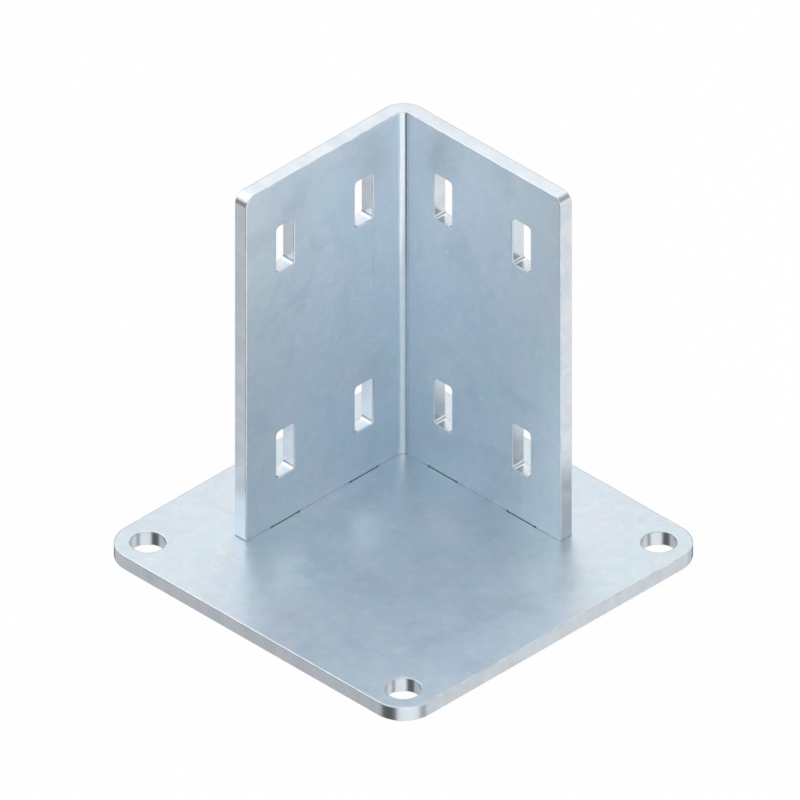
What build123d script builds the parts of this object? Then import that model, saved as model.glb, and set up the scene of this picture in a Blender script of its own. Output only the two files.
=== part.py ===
from build123d import *
from build123d.topology import SkipClean
import os

# Square plate that lies on the floor. The middle of its underside is the origin.
plate_side = 155.0
plate_thickness = 6.0
plate_corner_radius = 13.0

# Round holes near the plate's corners, for the floor anchors, each this far in from both edges.
anchor_hole_diameter = 13.0
anchor_hole_inset = 12.5

# Square profile that stands over the middle of the plate, and bears on both legs of the angle.
profile_side = 80.0

# The angle: one sheet, bent upright. Each leg's length runs along its inner face, from the corner
# where the two inner faces would meet.
sheet_thickness = 6.0
leg_length = 80.0
angle_height = 150.0
bend_inner_radius = 3.0
leg_corner_radius = 4.0

# Upright slots in both legs, for the screws into the profile. The middle of the lower row is this far
# above the plate's top, and the middle of the upper row this far below the angle's top.
screw_slot_width = 9.0
screw_slot_height = 20.0
screw_slot_corner_radius = 1.5
screw_column_pitch = 40.0
lower_row_rise = 30.0
upper_row_drop = 30.0

# Tabs under both legs, plugged into slots in the plate and welded there from below.
tab_width = 13.0
tab_reach = 4.0
tab_pitch = 40.0
tab_clearance = 0.25
tab_root_radius = 0.5
weld_recess = 0.3

# Chamfer that takes the burr off every free edge.
edge_break = 0.3

# Each leg's inner face is a seat for the profile. On a seat plane, x runs along the leg from the
# profile's middle, y rises from the plate's top, and z points at the profile.
seat_distance = profile_side / 2
seats = {
    "back": Plane((0, seat_distance, plate_thickness), x_dir=(1, 0, 0), z_dir=(0, -1, 0)),
    "left": Plane((-seat_distance, 0, plate_thickness), x_dir=(0, 1, 0), z_dir=(1, 0, 0)),
}

# What the two tabs of each leg are called, in the order of their place along x on its seat plane.
tab_names = {"back": ("left", "right"), "left": ("front", "rear")}


def leg_plan(leg, height):
    """Level plane on the middle of a leg's thickness, with x along the leg."""
    middle_of_sheet = seats[leg] * Pos(0, height - plate_thickness, -sheet_thickness / 2)
    return Plane(middle_of_sheet.position, x_dir=seats[leg].x_dir)


def make_base_plate():
    """Plate with its anchor holes, and a slot for each tab."""
    anchor_hole_pitch = plate_side - 2 * anchor_hole_inset
    with BuildPart() as plate:
        with BuildSketch():
            RectangleRounded(plate_side, plate_side, plate_corner_radius)
        extrude(amount=plate_thickness)
        chamfer(plate.edges().filter_by(Plane.XY), edge_break)
        with BuildSketch():
            with GridLocations(anchor_hole_pitch, anchor_hole_pitch, 2, 2):
                Circle(anchor_hole_diameter / 2)
        extrude(amount=plate_thickness, mode=Mode.SUBTRACT)
        chamfer(plate.edges(Select.LAST).filter_by(Plane.XY), edge_break)
        for leg in seats:
            with BuildSketch(leg_plan(leg, 0)):
                with GridLocations(tab_pitch, 0, 2, 1):
                    Rectangle(tab_width + 2 * tab_clearance, sheet_thickness + 2 * tab_clearance)
            extrude(amount=plate_thickness, mode=Mode.SUBTRACT)
    return plate.part


def make_angle():
    """Bent sheet with its screw slots, and tabs that reach into the plate."""
    inner_corner = (-seat_distance, seat_distance)
    outer_corner = (-seat_distance - sheet_thickness, seat_distance + sheet_thickness)
    left_end = (-seat_distance, seat_distance - leg_length)
    back_end = (leg_length - seat_distance, seat_distance)
    screw_row_pitch = angle_height - lower_row_rise - upper_row_drop
    with BuildPart() as angle:
        with BuildSketch(Plane.XY.offset(plate_thickness)) as section:
            with BuildLine():
                Polyline(left_end, inner_corner, back_end)
                offset(amount=sheet_thickness, side=Side.LEFT, kind=Kind.INTERSECTION)
            make_face()
            fillet(section.vertices().sort_by_distance(inner_corner)[0], bend_inner_radius)
            fillet(section.vertices().sort_by_distance(outer_corner)[0], bend_inner_radius + sheet_thickness)
        extrude(amount=angle_height)
        top_lines = angle.edges().group_by(Axis.Z)[-1].filter_by(GeomType.LINE)
        fillet(top_lines.sort_by(SortBy.LENGTH)[:2], leg_corner_radius)
        top_lines = angle.edges().group_by(Axis.Z)[-1].filter_by(GeomType.LINE)
        chamfer(top_lines.sort_by(SortBy.LENGTH)[2:], edge_break)
        for leg, seat in seats.items():
            with BuildSketch(seat):
                with Locations((0, lower_row_rise + screw_row_pitch / 2)):
                    with GridLocations(screw_column_pitch, screw_row_pitch, 2, 2):
                        RectangleRounded(screw_slot_width, screw_slot_height, screw_slot_corner_radius)
            extrude(amount=-sheet_thickness, mode=Mode.SUBTRACT)
            chamfer(angle.edges(Select.LAST).filter_by(seat), edge_break)
            with BuildSketch(seat):
                with GridLocations(tab_pitch, 0, 2, 1):
                    with GridLocations(tab_width + 2 * tab_root_radius, 0, 2, 1):
                        Circle(tab_root_radius)
            extrude(amount=-sheet_thickness, mode=Mode.SUBTRACT)
        # A tab's sides stay apart from the leg's, so that each seat's face ends on the plate.
        for leg in seats:
            with BuildSketch(leg_plan(leg, plate_thickness)):
                with GridLocations(tab_pitch, 0, 2, 1):
                    Rectangle(tab_width, sheet_thickness)
            with SkipClean():
                extrude(amount=-tab_reach)
    return angle.part


def make_plug_weld(leg, place_along_leg):
    """Weld that fills a tab slot from the tab's end to just short of the plate's underside."""
    with BuildPart() as weld:
        with BuildSketch(leg_plan(leg, weld_recess)):
            with Locations((place_along_leg, 0)):
                Rectangle(tab_width + 2 * tab_clearance, sheet_thickness + 2 * tab_clearance)
        extrude(amount=plate_thickness - tab_reach - weld_recess)
    return weld.part


parts = {"base_plate": make_base_plate(), "angle": make_angle()}
for leg, names in tab_names.items():
    for name, side in zip(names, (-1, 1)):
        parts[f"{leg}_leg_{name}_plug_weld"] = make_plug_weld(leg, side * tab_pitch / 2)

os.makedirs("parts", exist_ok=True)
for name, solid in parts.items():
    export_step(solid, f"parts/{name}.step")
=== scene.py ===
import math

import bpy
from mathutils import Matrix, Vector


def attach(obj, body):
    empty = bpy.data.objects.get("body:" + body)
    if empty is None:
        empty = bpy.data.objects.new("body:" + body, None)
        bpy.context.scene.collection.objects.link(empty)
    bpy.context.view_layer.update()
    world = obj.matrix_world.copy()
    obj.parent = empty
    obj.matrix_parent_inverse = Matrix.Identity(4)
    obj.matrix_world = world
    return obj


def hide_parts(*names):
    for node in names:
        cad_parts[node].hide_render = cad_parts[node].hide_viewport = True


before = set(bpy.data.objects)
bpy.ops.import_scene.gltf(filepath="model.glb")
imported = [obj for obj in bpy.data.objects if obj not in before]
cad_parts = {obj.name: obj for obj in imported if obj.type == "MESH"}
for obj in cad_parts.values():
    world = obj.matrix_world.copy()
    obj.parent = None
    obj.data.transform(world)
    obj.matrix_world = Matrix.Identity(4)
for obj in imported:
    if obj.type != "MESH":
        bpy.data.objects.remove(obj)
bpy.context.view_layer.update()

MM = 0.001

# Faces that turn by less than this are one flat, and edges that turn by more than this are rounded.
FLAT_ANGLE = math.radians(1)
EDGE_ANGLE = math.radians(35)
# How far the rounding reaches on both sides of an edge: at the foot of a leg's end, and elsewhere.
END_FOOT_ROUNDING = 0.5 * MM
EDGE_ROUNDING = 0.19 * MM
# Widest angle between two faces that shade as one rounded surface.
SOFT_EDGE_ANGLE = math.radians(50)

# Direction of the picture: level turn from straight ahead, height above the level, and its scale.
VIEW_AZIMUTH = math.radians(45)
VIEW_ELEVATION = math.radians(35)
PICTURE_PIXELS = 800
PIXELS_PER_METRE = 2779
# Place of the origin in the picture, in pixels from its middle: to the right, and down.
ORIGIN_RIGHT_PIXELS = 3.44
ORIGIN_DOWN_PIXELS = 155.41

# Tones of the plating: three that it drifts between, its pale and its dull mottle, bare bright spots
# and stains. The dull tone also paints the shade in the corner between the legs.
ZINC_BLUE = (0.725, 0.815, 0.895, 1)
ZINC_TEAL = (0.72, 0.835, 0.885, 1)
ZINC_LILAC = (0.77, 0.82, 0.90, 1)
ZINC_PALE = (0.86, 0.90, 0.93, 1)
ZINC_DULL_AND_SHADE = (0.59, 0.69, 0.79, 1)
ZINC_WORN = (0.92, 0.95, 0.97, 1)
ZINC_STAIN = (0.42, 0.48, 0.54, 1)
ZINC_SMUDGE = (0.53, 0.60, 0.67, 1)
# Darkest and palest tone of a cut face.
CUT_GREY = (0.68, 0.74, 0.80, 1)
CUT_PALE = (0.80, 0.86, 0.91, 1)
# Darkest and palest tone of the weld metal.
WELD_DARK = (0.42, 0.46, 0.50, 1)
WELD_PALE = (0.62, 0.67, 0.72, 1)
# The bend's axis stands this far from the plate's middle, to the left and to the rear.
BEND_AXIS = 37 * MM
BEND_INNER_RADIUS = 3 * MM
SHEET_THICKNESS = 6 * MM
PLATE_TOP = 6 * MM
# Both legs end this far from the plate's middle.
LEG_END = 40 * MM
# The plate's slots reach this far beyond the sheet, at most, and the reliefs beside the tabs this high.
SLOT_MARGIN = 0.5 * MM
RELIEF_HEIGHT = 0.8 * MM
# How far the flat facets of a rounded face lie off its true surface, at most.
FACET_SLACK = 0.05 * MM
# Share of a face's normal along an axis: below the first the face runs along the axis, and above the
# second it faces along it.
RUNS_ALONG = 0.01
FACES_ALONG = 0.9999

# The floor is much wider than the picture, and lies just under the plate.
FLOOR_RADIUS = 4.0
FLOOR_DROP = 0.1 * MM
# Share of plain white in the floor as the camera sees it. The rest takes light and shadow.
FLOOR_WHITE_SHARE = 0.97
# Share of the studio below that shows through the floor in the bare metal's reflections.
FLOOR_CLEAR_SHARE = 0.9


class Wire:
    """A socket's output that can be used in sums, products and comparisons."""

    def __init__(self, nodes, socket):
        self.nodes = nodes
        self.socket = socket

    def maths(self, operation, *others):
        return self.nodes.add("ShaderNodeMath", {"operation": operation}, [self, *others])

    def __add__(self, other):
        return self.maths("ADD", other)

    def __radd__(self, other):
        return self.maths("ADD", other)

    def __sub__(self, other):
        return self.maths("SUBTRACT", other)

    def __rsub__(self, other):
        return self.nodes.add("ShaderNodeMath", {"operation": "SUBTRACT"}, [other, self])

    def __mul__(self, other):
        return self.maths("MULTIPLY", other)

    def __rmul__(self, other):
        return self.maths("MULTIPLY", other)

    def __pow__(self, other):
        return self.maths("POWER", other)

    def away_from(self, value):
        """Distance from a value, to either side."""
        return (self - value).maths("ABSOLUTE")

    def clamped(self):
        return self.nodes.add("ShaderNodeClamp", {}, [self])

    def between(self, low, high):
        """0 at low and below, 1 at high and above, and a smooth rise between them."""
        return self.nodes.add(
            "ShaderNodeMapRange", {"interpolation_type": "SMOOTHSTEP"},
            {"Value": self, "From Min": low, "From Max": high})


class Nodes:
    """The nodes of one material or world."""

    def __init__(self, owner):
        self.owner = owner
        owner.use_nodes = True
        self.tree = owner.node_tree
        self.tree.nodes.clear()

    def add(self, kind, settings, sockets, output=0):
        """A node of a kind, with its settings, and values or wires on its sockets."""
        node = self.tree.nodes.new(kind)
        for name, value in settings.items():
            setattr(node, name, value)
        items = sockets.items() if isinstance(sockets, dict) else enumerate(sockets)
        for key, value in items:
            if isinstance(value, Wire):
                self.tree.links.new(value.socket, node.inputs[key])
            else:
                node.inputs[key].default_value = value
        return Wire(self, node.outputs[output]) if len(node.outputs) else node

    def place(self, scale):
        """Place on the piece, in the frame's metres, times a scale along each axis."""
        coordinates = self.add("ShaderNodeTexCoord", {}, {}, "Object")
        return self.add("ShaderNodeMapping", {}, {"Vector": coordinates, "Scale": scale})

    def axis(self, letter):
        """Place on the piece along one axis, in metres."""
        coordinates = self.add("ShaderNodeTexCoord", {}, {}, "Object")
        return self.add("ShaderNodeSeparateXYZ", {}, {"Vector": coordinates}, letter)

    def noise(self, size, detail=3.0, roughness=0.5, stretch=(1, 1, 1), distortion=0.0):
        """Cloudy pattern from 0 to 1, with blotches of about a size in metres."""
        where = self.place([1 / (size * part) for part in stretch])
        return self.add(
            "ShaderNodeTexNoise", {},
            {"Vector": where, "Scale": 1.0, "Detail": detail, "Roughness": roughness,
             "Distortion": distortion}, "Fac")

    def blend(self, share, first, second):
        """A colour that goes from the first to the second as share goes from 0 to 1."""
        node = self.tree.nodes.new("ShaderNodeMix")
        node.data_type = "RGBA"
        for name, value in (("Factor_Float", share), ("A_Color", first), ("B_Color", second)):
            socket = next(item for item in node.inputs if item.identifier == name)
            if isinstance(value, Wire):
                self.tree.links.new(value.socket, socket)
            else:
                socket.default_value = value
        result = next(item for item in node.outputs if item.identifier == "Result_Color")
        return Wire(self, result)


def rubs(nodes, size, stretch):
    """Sparse short straight marks, from 0 to 1."""
    return nodes.noise(size, 2.0, 0.6, stretch, 0.5).between(0.69, 0.78)


def wisps(nodes, size):
    """Sparse thin curved marks, from 0 to 1, as drying drops leave them."""
    course = nodes.noise(size, 2.0, 0.55, distortion=0.5)
    line = (1 - course.away_from(0.5) * 34).clamped()
    return line * nodes.noise(1.6 * size, 2.0, 0.5).between(0.50, 0.62)


def finished(nodes, tint, roughness, height):
    """Completes a metal's shader: a colour, a roughness, and a height in thousandths of a metre."""
    bump = nodes.add(
        "ShaderNodeBump", {}, {"Strength": 1.0, "Distance": 1.0 * MM, "Height": height}, "Normal")
    shader = nodes.add(
        "ShaderNodeBsdfPrincipled", {},
        {"Base Color": tint, "Metallic": 1.0, "Roughness": roughness, "Normal": bump})
    nodes.add("ShaderNodeOutputMaterial", {}, {"Surface": shader})
    return nodes.owner


def rolled_zinc():
    """Zinc plating on the rolled faces: it drifts from blue to teal and lilac, with a mottle, specks,
    wisps and rubbed lines. In the corner between the legs it is darkened by painted shade. The press has
    polished the bend itself, and left the sheet beside it dull."""
    nodes = Nodes(bpy.data.materials.new("rolled_zinc"))
    x, y, z = nodes.axis("X"), nodes.axis("Y"), nodes.axis("Z")
    from_bend = ((x + BEND_AXIS) ** 2 + (y - BEND_AXIS) ** 2) ** 0.5
    at_skin = 1 - from_bend.between(BEND_INNER_RADIUS + FACET_SLACK, BEND_INNER_RADIUS + 0.5 * MM)
    on_legs = z.between(PLATE_TOP, PLATE_TOP + 0.5 * MM)
    left_of_axis = 1 - (x + BEND_AXIS).between(-0.5 * MM, 0)
    behind_axis = (y - BEND_AXIS).between(0, 0.5 * MM)
    bent = at_skin * on_legs * left_of_axis * behind_axis
    beside_bend = on_legs * (1 - from_bend.between(4 * MM, 10 * MM))
    # Painted shade: strongest at the bend, it fades out 60 mm from the bend's axis.
    painted_corner_shade = 1 - from_bend.between(6 * MM, 60 * MM)
    drift = nodes.noise(24 * MM, 3.0, 0.6, distortion=0.8)
    second_drift = nodes.noise(14 * MM, 3.0, 0.6, (1.0, 1.3, 0.8), 0.5)
    cloud = nodes.noise(19 * MM, 4.0, 0.62, (1.1, 0.9, 1.2), 0.6)
    mottle = nodes.noise(5 * MM, 4.0, 0.64, distortion=0.4)
    grain = nodes.noise(1.2 * MM, 2.0, 0.6)
    tint = nodes.blend(drift.between(0.38, 0.62), ZINC_TEAL, ZINC_BLUE)
    tint = nodes.blend(second_drift.between(0.42, 0.66) * 0.8, tint, ZINC_LILAC)
    tint = nodes.blend((1 - cloud.between(0.30, 0.54)) * 0.34, tint, ZINC_DULL_AND_SHADE)
    tint = nodes.blend(mottle.between(0.44, 0.72) * 0.55, tint, ZINC_PALE)
    # Painted shade darkens the tint towards the corner between the legs.
    tint = nodes.blend(painted_corner_shade * 0.27, tint, ZINC_DULL_AND_SHADE)
    smudges = nodes.noise(34 * MM, 3.0, 0.55, distortion=0.5).between(0.56, 0.70)
    tint = nodes.blend(smudges * 0.28, tint, ZINC_SMUDGE)
    scuffs = rubs(nodes, 0.9 * MM, (1, 1, 16))
    scuffs = scuffs + rubs(nodes, 0.9 * MM, (14, 1, 1)) + rubs(nodes, 0.9 * MM, (1, 14, 1))
    tint = nodes.blend(wisps(nodes, 11 * MM) * 0.22 + scuffs.clamped() * 0.16, tint, ZINC_WORN)
    bare_specks = nodes.noise(1.7 * MM, 1.0, 0.4).between(0.72, 0.79)
    tint = nodes.blend(bare_specks * 0.6, tint, ZINC_WORN)
    stain_specks = nodes.noise(1.9 * MM, 1.0, 0.4, (1.1, 0.9, 1)).between(0.77, 0.84)
    tint = nodes.blend(stain_specks * 0.4, tint, ZINC_STAIN)
    roughness = 0.29 + 0.10 * mottle + 0.06 * cloud
    roughness = roughness - 0.02 * on_legs + 0.05 * beside_bend - 0.20 * bent
    height = drift * 0.10 + cloud * 0.06 + mottle * 0.05 + grain * 0.008
    return finished(nodes, tint, roughness, height * (1 - 0.7 * bent))


def cut_zinc(name, along, tone):
    """Zinc plating over a laser cut: it has fine lines in the direction of the beam, along, and is
    darker as tone falls from 1, which is painted shade."""
    nodes = Nodes(bpy.data.materials.new(name))
    stretch = [1 + 30 * part for part in along]
    lines = nodes.noise(0.7 * MM, 3.0, 0.6, stretch)
    bands = nodes.noise(6 * MM, 2.0, 0.5, stretch)
    cloud = nodes.noise(9 * MM, 3.0, 0.55)
    dark = [part * tone for part in CUT_GREY[:3]] + [1]
    pale = [part * tone for part in CUT_PALE[:3]] + [1]
    tint = nodes.blend(bands.between(0.3, 0.7) * 0.5 + cloud.between(0.35, 0.65) * 0.5, dark, pale)
    tint = nodes.blend(nodes.noise(1.3 * MM, 2.0, 0.5).between(0.70, 0.78) * 0.5, tint, ZINC_WORN)
    return finished(nodes, tint, 0.20 + 0.06 * cloud + 0.05 * lines, lines * 0.008 + bands * 0.015)


def rubbed_edge():
    """Broken edges: handling has rubbed their plating paler and rougher, in uneven stretches."""
    nodes = Nodes(bpy.data.materials.new("rubbed_edge"))
    wear = nodes.noise(6 * MM, 4.0, 0.65).between(0.38, 0.66)
    nicks = nodes.noise(1.1 * MM, 2.0, 0.5).between(0.66, 0.76)
    tint = nodes.blend(wear, CUT_GREY, ZINC_PALE)
    tint = nodes.blend(nicks * 0.3, tint, ZINC_STAIN)
    return finished(nodes, tint, 0.33 + 0.12 * wear, nodes.noise(1.6 * MM, 3.0, 0.6) * 0.02)


def plug_weld_steel():
    """Weld metal under the same plating, duller than the sheet: ripples run across each bead."""
    nodes = Nodes(bpy.data.materials.new("plug_weld_steel"))
    ripple = nodes.noise(1.8 * MM, 3.0, 0.6, (1.4, 1.4, 0.5), 0.8)
    burn = nodes.noise(6 * MM, 2.0, 0.5)
    pits = nodes.noise(0.9 * MM, 1.0, 0.4).between(0.72, 0.80)
    tint = nodes.blend(ripple.between(0.3, 0.7), WELD_DARK, WELD_PALE)
    tint = nodes.blend(burn.between(0.5, 0.7) * 0.5, tint, ZINC_STAIN)
    tint = nodes.blend(pits * 0.7, tint, ZINC_STAIN)
    return finished(nodes, tint, 0.40 + 0.15 * ripple, ripple * 0.30 - pits * 0.12)


def select_only(piece):
    bpy.ops.object.select_all(action="DESELECT")
    piece.select_set(True)
    bpy.context.view_layer.objects.active = piece


def under_skin(centre):
    """How deep a point of the angle lies under the skin that faces the profile."""
    left = -BEND_AXIS - centre.x
    rear = centre.y - BEND_AXIS
    if left > 0 and rear > 0:
        return math.hypot(left, rear) - BEND_INNER_RADIUS
    return max(left, rear) - BEND_INNER_RADIUS


def finish_of_angle(face):
    """Number of the finish of one face of the angle: 0 rolled, 1 cut in the left leg, 2 cut in the
    back leg, 3 broken edge."""
    depth = under_skin(face.center)
    upright = abs(face.normal.z) < RUNS_ALONG
    if upright and min(abs(depth), abs(depth - SHEET_THICKNESS)) < FACET_SLACK:
        return 0
    in_left_leg = face.center.y < BEND_AXIS
    across = face.normal.x if in_left_leg else face.normal.y
    if abs(across) > RUNS_ALONG:
        return 3
    return 1 if in_left_leg else 2


def finish_of_plate(face):
    """Number of the finish of one face of the plate: 0 rolled, 1 cut, 2 broken edge."""
    up = abs(face.normal.z)
    if up > FACES_ALONG:
        return 0
    return 1 if up < RUNS_ALONG else 2


def finish_of_weld(face):
    """Number of the one finish of a weld."""
    return 0


def rounding_of_weld(middle):
    """How far an edge of a weld is rounded: it fills its slot up to the walls."""
    return 0


def rounding_of_plate(middle):
    """How far an edge of the plate is rounded, by its middle. The slots for the tabs stay crisp."""
    in_slot = -SLOT_MARGIN < under_skin(middle) < SHEET_THICKNESS + SLOT_MARGIN
    return 0 if in_slot else EDGE_ROUNDING


def rounding_of_angle(middle):
    """How far an edge of the angle is rounded, by its middle. Tabs and their reliefs stay crisp, and
    the foot of a leg's end is rounded furthest."""
    rise = middle.z - PLATE_TOP
    if rise < -FACET_SLACK or FACET_SLACK < rise < RELIEF_HEIGHT:
        return 0
    at_end = middle.y < FACET_SLACK - LEG_END or middle.x > LEG_END - FACET_SLACK
    return END_FOOT_ROUNDING if at_end and rise < FACET_SLACK else EDGE_ROUNDING


def mark_rounding(piece, rounding_of):
    """Marks each sharp edge of a piece with its share of the widest rounding."""
    bpy.ops.object.mode_set(mode="EDIT")
    bpy.ops.mesh.select_mode(type="EDGE")
    bpy.ops.mesh.select_all(action="DESELECT")
    bpy.ops.mesh.edges_select_sharp(sharpness=EDGE_ANGLE)
    bpy.ops.object.mode_set(mode="OBJECT")
    share = piece.data.attributes.new("bevel_weight_edge", "FLOAT", "EDGE")
    for edge in piece.data.edges:
        ends = [piece.data.vertices[index].co for index in edge.vertices]
        if edge.select:
            share.data[edge.index].value = rounding_of((ends[0] + ends[1]) / 2) / END_FOOT_ROUNDING


def softened(node, name, finishes, finish_of, rounding_of):
    """A copy of a solid with rounded edges, which stands in for it."""
    piece = bpy.data.objects.new(name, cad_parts[node].data.copy())
    bpy.context.scene.collection.objects.link(piece)
    select_only(piece)
    bpy.ops.mesh.customdata_custom_splitnormals_clear()
    bpy.ops.object.mode_set(mode="EDIT")
    bpy.ops.mesh.select_all(action="SELECT")
    bpy.ops.mesh.remove_doubles(threshold=0.001 * MM)
    bpy.ops.mesh.dissolve_limited(angle_limit=FLAT_ANGLE)
    bpy.ops.object.mode_set(mode="OBJECT")
    mark_rounding(piece, rounding_of)
    rounding = piece.modifiers.new("rounded_edges", "BEVEL")
    rounding.limit_method = "WEIGHT"
    rounding.width = END_FOOT_ROUNDING
    rounding.segments = 2
    rounding.use_clamp_overlap = False
    rounding.face_strength_mode = "FSTR_AFFECTED"
    bpy.ops.object.modifier_apply(modifier=rounding.name)
    bpy.ops.object.shade_smooth_by_angle(angle=SOFT_EDGE_ANGLE)
    weighting = piece.modifiers.new("even_flats", "WEIGHTED_NORMAL")
    weighting.mode = "CORNER_ANGLE"
    weighting.keep_sharp = True
    weighting.use_face_influence = True
    bpy.ops.object.modifier_apply(modifier=weighting.name)
    piece.data.materials.clear()
    for finish in finishes:
        piece.data.materials.append(finish)
    for face in piece.data.polygons:
        face.material_index = finish_of(face)
    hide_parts(node)
    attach(piece, "root")


def studio_world():
    """Soft pale light from all round, with the lighter and darker cards that give bare metal its lines.

    Azimuth is in degrees from straight behind the camera, more to the camera's right.
    """
    world = bpy.data.worlds.new("studio")
    bpy.context.scene.world = world
    nodes = Nodes(world)
    direction = nodes.add("ShaderNodeTexCoord", {}, {}, "Generated")
    x = nodes.add("ShaderNodeSeparateXYZ", {}, {"Vector": direction}, "X")
    y = nodes.add("ShaderNodeSeparateXYZ", {}, {"Vector": direction}, "Y")
    z = nodes.add("ShaderNodeSeparateXYZ", {}, {"Vector": direction}, "Z")
    rightward = x * math.cos(VIEW_AZIMUTH) + y * math.sin(VIEW_AZIMUTH)
    frontward = x * math.sin(VIEW_AZIMUTH) - y * math.cos(VIEW_AZIMUTH)
    azimuth = rightward.maths("ARCTAN2", frontward) * (180 / math.pi)
    elevation = z.maths("ARCSINE") * (180 / math.pi)

    def card(level, tone, azimuths, elevations, blur):
        """The level all round, with a card of a tone laid over it between two azimuths and elevations."""
        share = azimuth.between(azimuths[0] - blur, azimuths[0] + blur)
        share = share - azimuth.between(azimuths[1] - blur, azimuths[1] + blur)
        share = share * elevation.between(elevations[0] - blur, elevations[0] + blur)
        share = share * (1 - elevation.between(elevations[1] - blur, elevations[1] + blur))
        return level + share * (tone - level)

    # Walls: dimmer towards the floor, and at the front above the camera's half of the room.
    level = 0.67 + 0.33 * elevation.between(-25, 10)
    level = card(level, 0.88, (-95, 95), (26, 80), 8)
    # High soft boxes at the left and at the rear, which the plate shows.
    level = card(level, 1.36, (-165, -78), (24, 75), 3)
    level = card(level, 1.19, (140, 200), (32, 85), 4)
    level = card(level, 1.19, (-200, -165), (32, 85), 4)
    # Dark strips at the left and right, which the legs' rounded corners show.
    level = card(level, 0.26, (-115, -72), (-28, 9), 3)
    level = card(level, 0.40, (58, 118), (20, 52), 3)
    # Low soft box at the right, and the gap beside it.
    level = card(level, 0.94, (78, 118), (-60, 18), 3)
    level = card(level, 0.40, (58, 78), (-60, -10), 3)
    # Low pair in front, dark and bright: the holes and the bend show their border as a sharp line.
    level = card(level, 0.04, (-74, -24), (-80, 40), 3)
    level = card(level, 1.17, (-19, 52), (-75, 24), 3)
    # Dark wall at the rear, which outlines the far edges.
    level = card(level, 0.04, (150, 200), (-80, 26), 3)
    level = card(level, 0.04, (-200, -150), (-80, 26), 3)
    light = nodes.add("ShaderNodeBackground", {}, {"Color": (1, 1, 1, 1), "Strength": level})
    nodes.add("ShaderNodeOutputWorld", {}, {"Surface": light})


def pale_floor():
    """Round pale floor just under the plate. It shows white, keeps a faint shadow, and the plate's
    underside can be looked at through it from below."""
    bpy.ops.object.select_all(action="DESELECT")
    bpy.ops.mesh.primitive_circle_add(
        vertices=96, radius=FLOOR_RADIUS, fill_type="NGON", location=(0, 0, -FLOOR_DROP))
    floor = bpy.context.object
    floor.name = "floor"
    material = bpy.data.materials.new("floor_white")
    nodes = Nodes(material)
    camera = nodes.add("ShaderNodeLightPath", {}, {}, "Is Camera Ray")
    glossy = nodes.add("ShaderNodeLightPath", {}, {}, "Is Glossy Ray")
    transmitted = nodes.add("ShaderNodeLightPath", {}, {}, "Is Transmission Ray")
    below = nodes.add("ShaderNodeNewGeometry", {}, {}, "Backfacing")
    lit = nodes.add("ShaderNodeBsdfDiffuse", {}, {"Color": (0.9, 0.9, 0.9, 1)})
    white = nodes.add("ShaderNodeEmission", {}, {"Color": (1, 1, 1, 1), "Strength": 1.0})
    clear = nodes.add("ShaderNodeBsdfTransparent", {}, {})
    seen = (camera + glossy + transmitted).clamped()
    mirrored = (glossy + transmitted).clamped()
    top = nodes.add("ShaderNodeMixShader", {}, [seen * FLOOR_WHITE_SHARE, lit, white])
    top = nodes.add("ShaderNodeMixShader", {}, [mirrored * FLOOR_CLEAR_SHARE, top, clear])
    both = nodes.add("ShaderNodeMixShader", {}, [below, top, clear])
    nodes.add("ShaderNodeOutputMaterial", {}, {"Surface": both})
    floor.data.materials.append(material)


def picture_camera():
    """Camera with parallel lines, turned and placed as in the picture."""
    data = bpy.data.cameras.new("picture_camera")
    data.type = "ORTHO"
    data.ortho_scale = PICTURE_PIXELS / PIXELS_PER_METRE
    camera = bpy.data.objects.new("picture_camera", data)
    bpy.context.scene.collection.objects.link(camera)
    back = Vector((
        math.sin(VIEW_AZIMUTH) * math.cos(VIEW_ELEVATION),
        -math.cos(VIEW_AZIMUTH) * math.cos(VIEW_ELEVATION),
        math.sin(VIEW_ELEVATION)))
    turn = (-back).to_track_quat("-Z", "Y")
    right = turn @ Vector((1, 0, 0))
    up = turn @ Vector((0, 1, 0))
    middle = (up * ORIGIN_DOWN_PIXELS - right * ORIGIN_RIGHT_PIXELS) / PIXELS_PER_METRE
    camera.rotation_mode = "QUATERNION"
    camera.rotation_quaternion = turn
    camera.location = middle + back * 1.0
    bpy.context.scene.camera = camera


rolled, edge, weld = rolled_zinc(), rubbed_edge(), plug_weld_steel()
# The plate's cut faces get tone 0.86, darker than the legs' cut faces: painted shade.
plate_cut_painted_shade = cut_zinc("plate_cut_zinc_painted_shade", (0, 0, 1), 0.86)
left_leg_cut = cut_zinc("left_leg_cut_zinc", (1, 0, 0), 1.0)
back_leg_cut = cut_zinc("back_leg_cut_zinc", (0, 1, 0), 1.0)
softened("base_plate", "plate_sheet", [rolled, plate_cut_painted_shade, edge], finish_of_plate, rounding_of_plate)
softened(
    "angle", "angle_sheet", [rolled, left_leg_cut, back_leg_cut, edge], finish_of_angle, rounding_of_angle)
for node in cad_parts:
    if node.endswith("plug_weld"):
        softened(node, node + "_bead", [weld], finish_of_weld, rounding_of_weld)
studio_world()
pale_floor()
picture_camera()
bpy.context.scene.view_settings.view_transform = "Standard"
